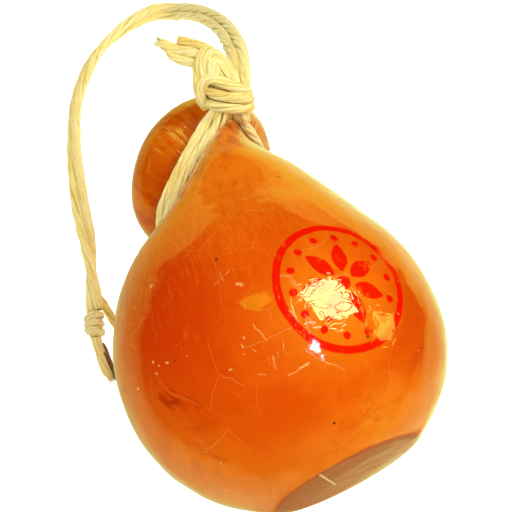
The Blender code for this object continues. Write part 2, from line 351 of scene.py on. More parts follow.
def twine_material():
    s = Shade("twine_fibre")
    fibre = s.attribute("fibre")
    depth = s.attribute("depth", "Fac")
    tone = s.attribute("tone", "Fac")
    point = s.position()
    streak_space = s.vector("MULTIPLY", fibre, (2.6, 2.6, 0.16))
    streak = s.noise(streak_space, 1.0, 4.0, 0.62)
    fine = s.noise(s.vector("MULTIPLY", fibre, (7.5, 7.5, 0.35)), 1.0, 3.0, 0.6)
    patch = s.noise(point, 70.0, 2.0)
    level = s.ramp(streak + (fine - 0.5) * 1.1 + tone * 0.45 + (patch - 0.5) * 0.35, 0.30, 0.70)
    colour = s.mix(linear(246, 214, 108), linear(255, 241, 158), level)
    pale = s.ramp(streak * 0.6 + patch * 0.6 + tone * 0.3, 0.66, 0.86)
    colour = s.mix(colour, linear(253, 240, 172), pale * 0.8)
    brown = s.ramp(fine * 0.9 + (1 - streak) * 0.4 - patch * 0.15, 0.60, 0.78)
    colour = s.mix(colour, linear(206, 150, 58), brown * 0.7)
    # painted shade: the lowest tones turn dark brown, on the neck knot's dark core and on the strand that paints the
    # shadow beside the cut tail
    colour = s.mix(colour, linear(96, 50, 16), s.ramp(tone, -0.75, -1.25) * 0.9)
    # painted shade: darker where a ply faces its strand's middle, in the crevices between plies
    crevice_shade = s.ramp(depth, 0.34, 0.66)
    colour = s.mix(colour, linear(214, 168, 84), crevice_shade * 0.45)
    colour = s.mix(colour, linear(150, 98, 36), s.ramp(depth, 0.50, 0.72) * 0.6)
    s.put(s.shader.inputs["Base Color"], colour)
    s.put(s.shader.inputs["Roughness"], 0.62)
    s.put(s.shader.inputs["Sheen Weight"], 0.25)
    s.put(s.shader.inputs["Sheen Roughness"], 0.4)
    s.put(s.shader.inputs["Sheen Tint"], (1.0, 0.93, 0.7, 1.0))
    s.put(s.shader.inputs["Specular IOR Level"], 0.35)
    height = streak * 0.7 + fine * 0.5
    s.put(s.shader.inputs["Normal"], s.bump(height, 0.00055))
    return s.material


TWINE = twine_material()

# ---------------------------------------------------------------- hanging loop, a doubled strand
LOOP_ROUTE = (
    (18.5, 98.5, 27.0), (20.5, 105.5, 26.5), (23.0, 115.0, 23.0), (25.0, 126.5, 14.5), (27.5, 144.0, -0.5),
    (28.0, 164.0, -18.5), (26.5, 181.5, -35.5), (23.0, 193.5, -47.5), (18.0, 201.5, -54.0),
    (12.0, 204.5, -56.4), (4.0, 204.0, -56.4), (-6.5, 200.5, -56.4), (-16.0, 195.5, -56.4),
    (-25.0, 188.5, -56.4), (-38.0, 170.5, -56.4), (-46.0, 148.5, -56.4), (-51.5, 122.5, -56.4),
    (-55.0, 94.0, -56.4), (-57.5, 80.0, -56.4), (-60.6, 63.6, -56.4),
)
LOOP_STRAND = 4.2
PAIR_ROLL = ((0.0, 0), (0.42, 10), (0.52, 82), (0.60, 122), (0.68, 120), (0.74, 130), (0.80, 160),
             (0.86, 190), (0.93, 265), (1.0, 350))


def make_loop():
    path = route(LOOP_ROUTE, 1.0)
    along = lengths(path)
    share = along / along[-1]
    roll = np.radians(np.interp(share, [s for s, _ in PAIR_ROLL], [r for _, r in PAIR_ROLL]))
    kernel = np.ones(15) / 15
    roll = np.convolve(np.pad(roll, 7, "edge"), kernel, "valid")
    ahead = tangents(path)
    flat = unit(np.cross(ahead, TOWARDS_VIEWER))
    rise = np.cross(flat, ahead)
    grow = np.interp(share, [0, 0.08, 0.20, 0.35, 1.0], [1.08, 1.20, 1.14, 1.05, 1.04])
    offset = flat * np.cos(roll)[:, None] + rise * np.sin(roll)[:, None]
    offset *= (LOOP_STRAND / 2 * 0.88 * grow)[:, None]
    reach = np.abs(offset[:, 2]) + LOOP_STRAND / 2 * grow
    rest = -BODY_CENTRE[2] + 0.2 + reach
    grounded = np.clip((share - 0.40) / 0.06, 0, 1)
    path[:, 2] += (rest - path[:, 2]) * grounded
    path[:, 2] = np.maximum(path[:, 2], rest)
    pair = Twine(11)
    for sign, phase, seed in ((1, 0.4, 0), (-1, 2.3, 1)):
        strand_path = path + sign * offset
        pair.strand(strand_path, LOOP_STRAND, pitch=50.0 + 6 * seed, phase=phase, tone=0.34 + 0.08 * sign,
                    grow=grow)
        pair.hairs(strand_path, LOOP_STRAND / 2 * 0.92, 16)
    item = pair.build("twine_loop", TWINE, "hanging_loop")
    return item, path


loop, loop_path = make_loop()


# ---------------------------------------------------------------- neck, shared by noose and cheese
def heading(pitch, yaw, roll=0.0):
    axis = np.array((-math.sin(yaw) * math.cos(pitch), math.cos(yaw) * math.cos(pitch), math.sin(pitch)))
    right = unit(np.cross(axis, (0.0, 0.0, 1.0)))
    up = np.cross(right, axis)
    rolled = right * math.cos(roll) - up * math.sin(roll)
    return axis, rolled, np.cross(rolled, axis)


def section_ring(centre, half_width, half_height, pitch, yaw, roll, pinch, angles, cut=0.0):
    """cut draws the ring in on the +X side of its crest."""
    _, right, up = heading(pitch, yaw, roll)
    rise = np.maximum(np.sin(angles), 0.0)
    across = np.cos(angles) * half_width * (1 - pinch * rise ** 1.5)
    across *= 1 - cut * np.sqrt(np.maximum(np.cos(angles), 0.0)) * rise
    upward = np.sin(angles) * half_height * (1 + 0.35 * pinch * rise ** 2)
    return np.asarray(centre) + across[:, None] * right + upward[:, None] * up


NECK_PITCH, NECK_YAW, NECK_ROLL = (math.radians(a) for a in (-19.4, 29.9, 28.3))
HEAD_PITCH, HEAD_YAW = math.radians(-19.3), math.radians(30)
HEAD_CENTRE = np.array((-0.3, 95.4, -27.5))
HEAD_RADIUS, HEAD_HALF_LENGTH = 35.4, 22.3
NECK_CENTRE = np.array((-0.8, 75.6, -11.0))
NECK_HALF_WIDTH, NECK_HALF_HEIGHT, NECK_PINCH = 27.2, 29.6, 0.51
NOOSE_STRAND, NOOSE_SPACING = 3.8, 3.85


def neck_ring(along, grow, angles, cut=0.0):
    centre = NECK_CENTRE + heading(NECK_PITCH, NECK_YAW)[0] * along
    return section_ring(centre, NECK_HALF_WIDTH + grow, NECK_HALF_HEIGHT + grow, NECK_PITCH, NECK_YAW, NECK_ROLL,
                        NECK_PINCH, angles, cut)


# ---------------------------------------------------------------- knot at the neck
KNOT_CENTRE = np.array((12.0, 97.0, 26.0))


def knot(points):
    """Right, up and towards the viewer from the middle of the neck knot, in mm."""
    points = np.asarray(points, float)
    return KNOT_CENTRE + points[:, :1] * VIEW_RIGHT + points[:, 1:2] * VIEW_UP + points[:, 2:] * TOWARDS_VIEWER


def make_noose():
    """Two strands side by side; they part from the cheese and thicken where they rise to the knot."""
    degrees = np.linspace(112, 430, 200)
    angles = np.radians(degrees)
    towards_knot = np.interp(degrees, [112, 150], [1, 0])
    far_side = np.interp(degrees, [375, 400, 433], [0, 1, 1])
    for name, node, side, seed, start, end in (
        ("twine_noose_shoulder_side", "noose_strand_shoulder_side", -0.5, 21, (-0.6, -6.6, 0.6), (7.6, -8.4, -0.6)),
        ("twine_noose_head_side", "noose_strand_head_side", 0.5, 22, (-4.2, -6.2, 0.2), (5.0, -7.4, -1.8)),
    ):
        ring = neck_ring(side * NOOSE_SPACING, 2.0, angles)
        axis = heading(NECK_PITCH, NECK_YAW)[0]
        near_side = np.interp(degrees, [130, 160, 210, 250], [0, 1, 1, 0])
        ring += axis * (towards_knot * (-1.7 if side < 0 else -0.2) - near_side * 1.1)[:, None]
        ring += VIEW_RIGHT * (far_side * 1.5)[:, None] + TOWARDS_VIEWER * (far_side * 4.0 + near_side * 0.6)[:, None]
        led = knot(((start[0] + 0.8, start[1] + 4.6, start[2] - 1.6), start))
        left = knot((end, (end[0] - 1.4, end[1] + 4.4, end[2] - 0.6)))
        whole = np.concatenate([led, ring[::8], left])
        path = resample(spline(whole, 8), 0.9)
        share = lengths(path) / lengths(path)[-1]
        grow = np.interp(share, [0, 0.06, 0.22, 0.84, 0.95, 1.0], [1.15, 1.24, 1.0, 1.0, 1.22, 1.15])
        strand = Twine(seed)
        strand.strand(path, NOOSE_STRAND, pitch=36.0, phase=side * 3, tone=0.2, squash=0.9, grow=grow)
        strand.hairs(path, 1.7, 6)
        strand.build(name, TWINE, node)


make_noose()

KNOT_STRANDS = (
    # lowest band, drawn round the noose
    (4.2, 0.2, ((-7.8, -2.1, -2.5), (-5.5, -3.6, 1.0), (-2.3, -4.9, 2.8), (2.0, -5.5, 3.6), (6.3, -5.7, 3.0),
                (9.0, -5.0, 0.6), (9.8, -3.4, -3.0))),
    # middle band
    (4.2, 0.0, ((-8.0, 2.4, 0.8), (-5.4, 0.7, 3.4), (-2.0, -0.6, 4.5), (3.9, -1.4, 4.5), (7.8, -1.8, 2.6),
                (10.0, -0.9, -1.4))),
    # great arc over the small hole, ending as the top band on the right
    (4.4, 0.25, ((-9.0, -3.4, -1.5), (-9.6, -0.2, 2.0), (-9.2, 2.8, 4.0), (-7.6, 5.0, 5.2), (-4.8, 5.6, 5.8),
                 (-1.6, 4.6, 5.8), (2.2, 3.0, 5.2), (5.9, 2.0, 3.8), (9.4, 0.8, -0.4))),
    # outer left strand climbing from behind and over the top
    (4.2, -0.1, ((-7.8, -4.6, -4.0), (-10.0, -0.9, -1.2), (-10.8, 3.4, 0.8), (-11.0, 7.7, 1.6), (-10.7, 12.4, 2.0),
                 (-9.2, 16.0, 1.8), (-6.8, 17.7, 0.8), (-4.6, 17.0, -1.8))),
    # strand beside it, over the top and down beside the loop
    (4.2, 0.1, ((-8.4, 4.6, 2.4), (-8.6, 9.6, 3.4), (-7.8, 13.4, 3.6), (-5.6, 15.9, 3.2), (-2.8, 15.2, 2.6),
                (-0.8, 12.4, 2.2), (1.0, 9.2, 1.6), (2.6, 5.4, 0.6))),
    # inner crown
    (4.2, 0.25, ((-5.8, 5.6, 3.6), (-5.9, 9.0, 4.4), (-5.0, 11.8, 4.2), (-3.2, 12.6, 3.6), (-1.8, 10.6, 3.4),
                 (-0.8, 8.0, 3.2), (0.6, 5.0, 2.4))),
    # strand inside the crown
    (4.0, 0.3, ((-4.4, 4.6, 3.4), (-4.2, 7.6, 3.9), (-3.6, 10.2, 3.8), (-3.0, 12.2, 3.0))),
    # roots of the loop's two strands
    (4.6, 0.0, ((4.2, -2.4, -0.5), (4.0, 2.2, 0.4), (3.4, 5.8, 0.2), (2.8, 9.4, -0.4))),
    (4.6, 0.1, ((7.2, -2.6, -1.0), (7.5, 2.0, -0.4), (7.4, 5.0, -0.8), (7.0, 8.6, -1.4))),
    # core, which closes the gaps; its dark tones are painted shade between the wraps
    (5.0, -1.15, ((-9.6, 0.6, -1.6), (-7.4, 1.8, -0.4), (-5.6, 2.6, 0.4), (-4.0, 3.6, 0.8))),
    (5.6, -0.35, ((-7.6, 14.6, -1.0), (-6.6, 9.0, -0.4), (-4.6, 3.8, 0.0), (0.0, 0.4, 0.4), (5.6, -1.6, 0.4))),
    (5.4, -0.35, ((-3.6, 14.0, -0.6), (-2.4, 9.0, 0.6), (0.2, 4.4, 1.2), (4.6, 0.6, 0.8))),
    (4.6, -0.35, ((8.0, -3.8, -1.6), (3.4, -3.4, -0.8), (-1.6, -2.2, -0.8), (-6.4, 0.4, -1.6))),
)


def make_neck_knot():
    twine = Twine(31)
    for index, (diameter, tone, points) in enumerate(KNOT_STRANDS):
        path = resample(spline(knot(points), 12), 0.8)
        twine.strand(path, diameter, pitch=34.0, phase=index * 1.3, tone=tone, taper=(0.8, 0.8))
        if index < 7:
            twine.hairs(path, diameter / 2 * 0.95, 5, length=(4, 9), lift=0.35)
    twine.build("twine_neck_knot", TWINE, "neck_knot")


make_neck_knot()


def make_knot_tails():
    long_tail = Twine(41)
    upper = route(knot(((-7.6, 15.2, 0.2), (-12.5, 16.8, -0.4), (-17.4, 17.9, -1.6), (-22.2, 19.4, -2.4),
                        (-26.4, 21.3, -3.2))), 0.8)
    lower = route(knot(((-8.6, 12.6, 0.4), (-13.2, 12.9, -0.2), (-17.2, 13.9, -1.2), (-20.6, 15.7, -2.0),
                        (-23.2, 18.0, -2.8))), 0.8)
    long_tail.strand(upper, 4.6, pitch=34, phase=0.3, tone=0.25, taper=(0.9, 0.85), squash=0.8)
    long_tail.strand(lower, 3.9, pitch=30, phase=1.3, tone=0.1, taper=(0.9, 0.55), squash=0.8)
    long_tail.fray(upper[-1], upper[-1] - upper[-4], (1.7, 1.0), 34, length=(1.0, 3.4))
    long_tail.fray(lower[-1], lower[-1] - lower[-4], (1.1, 0.8), 10, length=(0.8, 2.0))
    long_tail.build("twine_tail_long", TWINE, "knot_tail_long")
    short = Twine(42)
    path = route(knot(((-5.8, 18.0, 0.2), (-10.0, 19.6, 0.2), (-14.4, 20.9, -0.4), (-18.8, 22.0, -1.0))), 0.8)
    short.strand(path, 3.4, pitch=30, phase=0.3, tone=-0.45, taper=(0.9, 1.0), squash=0.9)
    short.fray(path[-1], path[-1] - path[-4], (1.3, 0.9), 14, length=(0.3, 1.0), tone=-0.2)
    short.build("twine_tail_short", TWINE, "knot_tail_short")


make_knot_tails()

# ---------------------------------------------------------------- knot and tails at the loop's far end
END_TOP = np.array((-61.7, 61.6, -56.0))
END_LOW = np.array((-64.0, 51.0, -56.0))


def make_end_knot():
    axis = unit(END_LOW - END_TOP)
    side = unit(np.cross(axis, TOWARDS_VIEWER))
    up = np.cross(side, axis)
    twine = Twine(51)
    for index, (at, turn, lean) in enumerate(((1.6, 0.2, 0.16), (5.0, 0.5, 0.02), (8.2, 0.3, -0.22))):
        angles = np.linspace(0, 2 * np.pi * 0.97, 40)
        ring = (END_TOP + axis * (at + lean * 3.2 * np.cos(angles + turn))[:, None]
                + side * (2.8 * np.cos(angles))[:, None] + up * (2.1 * np.sin(angles))[:, None])
        twine.strand(resample(ring, 0.7), 3.5, pitch=30, phase=index * 2.0, tone=1.1, tone_spread=0.3)
    twine.strand(route((END_TOP - axis * 1.0, END_TOP + axis * 6.0, END_LOW), 0.7), 4.6, tone=-0.2)
    twine.build("twine_end_knot", TWINE, "end_knot")
    cut = Twine(52)
    path = route(((-63.6, 52.6, -57.4), (-64.0, 44.6, -57.8), (-63.8, 37.4, -58.3), (-63.0, 31.4, -58.6)), 0.8)
    cut.strand(path, 4.5, pitch=60, phase=1.0, tone=0.3, taper=(1.0, 0.4), squash=0.85, tone_spread=0.5)
    # dark strand beside the cut tail: a painted shadow between the tail and the cheese
    shadow_strand = route(((-61.8, 48.0, -58.0), (-61.9, 42.0, -57.8), (-61.5, 36.0, -57.8), (-60.9, 30.6, -58.6)), 0.8)
    cut.strand(shadow_strand, 2.7, pitch=60, phase=0.4, tone=-1.6, taper=(0.5, 0.6), plies=3)
    cut.fray(path[-1], path[-1] - path[-5], (1.3, 0.6), 20, length=(0.5, 2.0), tone=0.0)
    cut.hairs(path, 1.9, 5, length=(4, 9))
    cut.build("twine_end_tail_cut", TWINE, "end_tail_cut")
    tucked = Twine(53)
    path = route(((-57.2, 69.0, -57.6), (-55.4, 61.6, -58.4), (-54.6, 57.0, -58.8), (-53.4, 52.6, -59.0),
                  (-51.4, 48.4, -59.0)), 0.8)
    tucked.strand(path, 3.5, pitch=28, phase=0.0, tone=-0.45, taper=(0.9, 0.6))
    tucked.build("twine_end_tail_tucked", TWINE, "end_tail_tucked")


make_end_knot()

# ---------------------------------------------------------------- cheese
RADIUS, WIDTH, BASE_DEPTH = 62.0, 1.02 * 62.0, 55.1
BASE_FACING = unit((0.122, -0.993, -0.052))
SEGMENTS = 300
ANGLES = 2 * np.pi * np.arange(SEGMENTS) / SEGMENTS


def cheese_rings():
    rings = []
    for degrees in np.linspace(4, 76, 25):
        a = math.radians(degrees)
        rings.append(section_ring((0.0, -math.cos(a) * RADIUS, 0.0), math.sin(a) * WIDTH, math.sin(a) * RADIUS,
                                  0, 0, 0, 0, ANGLES))
    for x, y, z, half_width, half_height, pitch, yaw, roll, pinch in (
        (-0.9, -2.0, 0.0, 61.9, 61.8, 0, 0, 0, 0.00),
        (-1.5, 13.0, 0.0, 60.4, 59.8, 0, 0, 0, 0.00),
        (-1.7, 29.2, 0.0, 54.1, 53.5, -1, -1, 0, 0.00),
        (-1.0, 45.2, 1.0, 44.0, 42.8, -3, 0, 0, 0.00),
        (-1.3, 57.8, 0.0, 34.3, 36.0, -10, 15, 4, 0.17),
    ):
        turns = [math.radians(t) for t in (pitch, yaw, roll)]
        rings.append(section_ring((x, y, z), half_width, half_height, *turns, pinch, ANGLES))
    crest = np.exp(-((np.degrees(ANGLES) - 62) / 34) ** 2)
    under_pair = np.exp(-((np.degrees(ANGLES) - 135) / 32) ** 2)
    lip = neck_ring(-6.6, 2.6 + 1.8 * under_pair, ANGLES, 0.40)
    inner = neck_ring(-6.6, 0.2, ANGLES, 0.40)
    rings.append(lip + (inner - lip) * crest[:, None])
    rings += [neck_ring(-4.3, 0.0, ANGLES, 0.40), neck_ring(4.3, 0.0, ANGLES, 0.30)]
    axis = heading(HEAD_PITCH, HEAD_YAW)[0]
    for degrees in np.linspace(62, 176, 9):
        a = math.radians(degrees)
        rings.append(section_ring(HEAD_CENTRE - axis * math.cos(a) * HEAD_HALF_LENGTH, math.sin(a) * HEAD_RADIUS,
                                  math.sin(a) * HEAD_RADIUS, HEAD_PITCH, HEAD_YAW, 0, 0, ANGLES))
    return rings


def press_flat(points, normal, depth, softness):
    excess = points @ normal - depth
    kept = np.where(excess >= softness, 0.0, -((softness - excess) ** 2) / (4 * softness))
    push = np.where(excess <= -softness, 0.0, excess - kept)
    return points - push[..., None] * normal


def ease_rows(grid, start, full_end, end):
    """Smooths the shoulder along its length; the lip at its end is only softened."""
    index = np.arange(len(grid))
    weight = np.interp(index, [start, start + 12, full_end, end - 1, end], [0, 1, 1, 0.3, 0.3])
    weight = np.where(index > end + 2, 0, weight)
    for turn in range(60):
        share = weight if turn < 6 else np.where(index > full_end - 4, 0, weight)
        moved = grid.copy()
        moved[1:-1] = (grid[:-2] + 2 * grid[1:-1] + grid[2:]) / 4
        grid = grid + (moved - grid) * share[:, None, None]
    return grid


def row_noise(points, scale, seed, octaves=3):
    flat = points.reshape(-1, 3) * scale + seed
    values = [noise.fractal(Vector(p), 0.6, 2.0, octaves) for p in flat]
    return np.array(values).reshape(points.shape[:-1])


def pleats(grid):
    """Ridges that run out from the noose, over the head and down the shoulder."""
    axis, right, up = heading(NECK_PITCH, NECK_YAW, NECK_ROLL)
    away = grid - NECK_CENTRE
    along = away @ axis
    turn = np.arctan2(away @ up, away @ right)
    space = np.stack([np.cos(turn), np.sin(turn), along * 0.006], axis=-1)
    coarse = row_noise(space, 5.0, 3.0, 2)
    fine = row_noise(space, 11.0, 9.0, 2)
    head = np.where(along > 3.5, np.exp(-np.maximum(along - 6, 0) / 6), 0) * np.clip((along - 3.5) / 2, 0, 1)
    shoulder = np.where(along < -5.5, np.exp(-np.maximum(-along - 7, 0) / 11), 0)
    return head * (0.55 * coarse + 0.40 * fine) + shoulder * (0.35 * coarse + 0.16 * fine)


def make_cheese(material):
    rings = cheese_rings()
    gaps = [np.linalg.norm(b - a, axis=1).mean() for a, b in zip(rings, rings[1:])]
    steps = [max(1, math.ceil(gap / 1.25)) for gap in gaps]
    grid = ease_rows(spline(rings, steps), sum(steps[:18]), sum(steps[:29]), sum(steps[:30]))
    grid = press_flat(grid, BASE_FACING, BASE_DEPTH, 1.2)
    down = np.roll(grid, -1, axis=1) - np.roll(grid, 1, axis=1)
    ahead = np.gradient(grid, axis=0)
    normal = unit(np.cross(ahead, down))
    if (normal[20, 0] @ (grid[20, 0] - np.array((0.0, grid[20, 0][1], 0.0)))) < 0:
        normal = -normal
    base_facing = normal @ BASE_FACING
    low = row_noise(grid, 0.028, 5.0, 3)
    mid = row_noise(grid, 0.09, 17.0, 3)
    lift = 0.42 * low + 0.10 * mid + pleats(grid)
    lift *= np.clip((0.97 - base_facing) / 0.1, 0.15, 1)
    grid = grid + normal * lift[..., None]
    grid = press_flat(grid, np.array((0.0, 0.0, -1.0)), BODY_CENTRE[2], 0.4)
    axis = heading(HEAD_PITCH, HEAD_YAW)[0]
    poles = np.array((grid[0].mean(axis=0), (HEAD_CENTRE + axis * HEAD_HALF_LENGTH)))
    points = world(np.concatenate([grid.reshape(-1, 3), poles]))
    points[:, 2] = np.maximum(points[:, 2], 0.0)
    rows = len(grid)
    faces = []
    for row in range(rows - 1):
        for k in range(SEGMENTS):
            following = (k + 1) % SEGMENTS
            a, b = row * SEGMENTS, (row + 1) * SEGMENTS
            faces.append((a + k, b + k, b + following, a + following))
    last = (rows - 1) * SEGMENTS
    for k in range(SEGMENTS):
        following = (k + 1) % SEGMENTS
        faces.append((rows * SEGMENTS, k, following))
        faces.append((rows * SEGMENTS + 1, last + following, last + k))
    mesh = bpy.data.meshes.new("cheese_waxed")
    mesh.from_pydata(points.tolist(), [], faces)
    mesh.shade_smooth()
    mesh.materials.append(material)
    item = bpy.data.objects.new("cheese_waxed", mesh)
    bpy.context.scene.collection.objects.link(item)
    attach(item, "root")
    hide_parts("cheese")
    return item


def spokes(s, radius, angle, count, turn=0.0):
    """Distance in mm across the nearest of so many evenly spaced spokes."""
    share = s.math("FRACT", angle * (count / (2 * math.pi)) + turn) - 0.5
    return s.math("ABSOLUTE", share * radius * (2 * math.pi / count))


STAMP_CENTRE = (19.5, -6.5, 57.0)
RING_RADIUS, DOTS_RADIUS = 23.0, 18.4
PETALS, DOTS = 7, 14


def stamp_ink(s, point):
    """Red ink of a plain rosette: petals, dots and a ring, printed on the body's top."""
    middle = np.array(STAMP_CENTRE)
    up = unit(middle)
    first = unit(np.cross((0.0, 1.0, 0.0), up))
    second = np.cross(up, first)
    wander = s.noise(point, 0.16, 3.0, out="Color")
    away = s.vector("SUBTRACT", point, tuple(middle))
    away = s.vector("ADD", away, s.vector("SUBTRACT", wander, (0.5, 0.5, 0.5)))
    x = s.vector("DOT_PRODUCT", away, tuple(first))
    y = s.vector("DOT_PRODUCT", away, tuple(second))
    radius = s.math("SQRT", x * x + y * y)
    angle = s.math("ARCTAN2", y, x)
    swell = s.math("SINE", s.ramp(radius, 3.6, 15.8, 0.0, math.pi, smooth=False))
    petals = s.ramp(spokes(s, radius, angle, PETALS) - swell * 2.9, -0.2, 0.45, 1.0, 0.0)
    petals = petals * s.ramp(radius, 15.2, 15.8, 1.0, 0.0) * s.ramp(radius, 3.6, 4.2)
    off_dots = spokes(s, radius, angle, DOTS, 0.5)
    dot_rise = radius - DOTS_RADIUS
    dots = s.ramp(s.math("SQRT", dot_rise * dot_rise + off_dots * off_dots), 1.15, 1.7, 1.0, 0.0)
    ring = s.ramp(s.math("ABSOLUTE", radius - RING_RADIUS), 1.0, 1.6, 1.0, 0.0)
    heart = s.ramp(radius, 2.3, 2.9, 1.0, 0.0)
    ink = s.math("MAXIMUM", s.math("MAXIMUM", petals, heart), s.math("MAXIMUM", ring, dots))
    front = s.ramp(s.vector("DOT_PRODUCT", away, tuple(up)), -24.0, -16.0)
    worn = s.ramp(s.noise(point, 0.11, 4.0, 0.7), 0.36, 0.46, 0.45, 1.0)
    return ink * front * worn


def crack_lines(s, point, cell, width, patchiness, seed):
    """Thin polygonal lines of the dried wax, missing in patches."""
    bend = s.vector("MULTIPLY", s.noise(point, 0.06, 2.0, 0.6, out="Color"), (4.0, 4.0, 4.0))
    moved = s.vector("ADD", s.vector("ADD", point, bend), (seed, seed * 1.7, seed * 0.6))
    edges = s.cells(moved, 1 / cell, feature="DISTANCE_TO_EDGE")
    lines = s.ramp(edges, 0.0, width / cell, 1.0, 0.0)
    return lines * s.ramp(s.noise(moved, 0.05, 3.0), patchiness, patchiness + 0.07)


# Marks in mm right of and above the body's middle, as its top is seen: from, to, half width, strength.
PALE_MARKS = (
    ((6, 12), (-13, 3.5), 0.12, 0.3), ((1, 17), (5.4, 12.4), 0.4, 0.7), ((2.5, 21), (3.3, 16), 0.18, 0.4),
    ((7.6, 14), (9.3, 7), 0.2, 0.4), ((-9.6, 11.5), (-5.6, 6.4), 0.3, 0.4),
    ((8.6, -1.3), (5.8, -3.0), 0.35, 0.8), ((5.4, -3.2), (1.8, -5.2), 0.25, 0.45),
    ((12.6, -0.3), (21, -3.5), 0.1, 0.5), ((-3.1, 1.4), (-2.1, -3), 0.3, 0.35),
    ((-4.6, 1.0), (-4.1, -1.4), 0.15, 0.3), ((-1.8, 2.9), (-1.2, 0.6), 0.15, 0.3),
    ((-7.6, -4.7), (-5.6, -5.1), 0.2, 0.35), ((-1.6, 28), (2.4, 27.5), 0.5, 0.25), ((3, 26), (6, 23), 0.8, 0.2),
    ((-21.6, 29), (-20, 26), 0.12, 0.4), ((-17.6, 29.5), (-23.4, 24.4), 0.1, 0.35),
    ((-15.2, 25), (-13.8, 24.6), 0.6, 0.6), ((-13, 7.4), (-12.7, 7.1), 0.35, 0.6),
    ((-13.6, 4.4), (-13.1, 3.9), 0.3, 0.5), ((-13.2, 1.8), (-12.8, 1.6), 0.3, 0.5),
    ((-17.7, -3.6), (-17.2, -3.5), 0.35, 0.5), ((-9.8, 3.4), (-8.8, 2.6), 0.2, 0.5),
    ((-44.4, -2), (-44.2, -2.1), 0.28, 1.0), ((-42.3, -3.3), (-42.2, -3.2), 0.25, 1.0),
    ((-39.3, -1.8), (-39.1, -1.9), 0.28, 1.0), ((-43, -6), (-42.9, -6.2), 0.3, 1.0),
    ((-50.3, -12), (-50.2, -12.2), 0.3, 1.0), ((-46, 23.5), (-45.6, 24), 0.45, 0.7),
)


def stroke(s, u, v, start, end, half_width):
    """1 along a straight mark, fading past its edges."""
    (x0, y0), (x1, y1) = start, end
    length = math.hypot(x1 - x0, y1 - y0)
    dx, dy = (x1 - x0) / length, (y1 - y0) / length
    middle_x, middle_y = (x0 + x1) / 2, (y0 + y1) / 2
    right, rise = u - middle_x, v - middle_y
    across = s.math("ABSOLUTE", right * dy - rise * dx)
    past = s.math("MAXIMUM", s.math("ABSOLUTE", right * dx + rise * dy) - length / 2, 0.0)
    away = s.math("SQRT", across * across + past * past)
    return s.ramp(away, half_width * 0.4, half_width * 1.6, 1.0, 0.0)


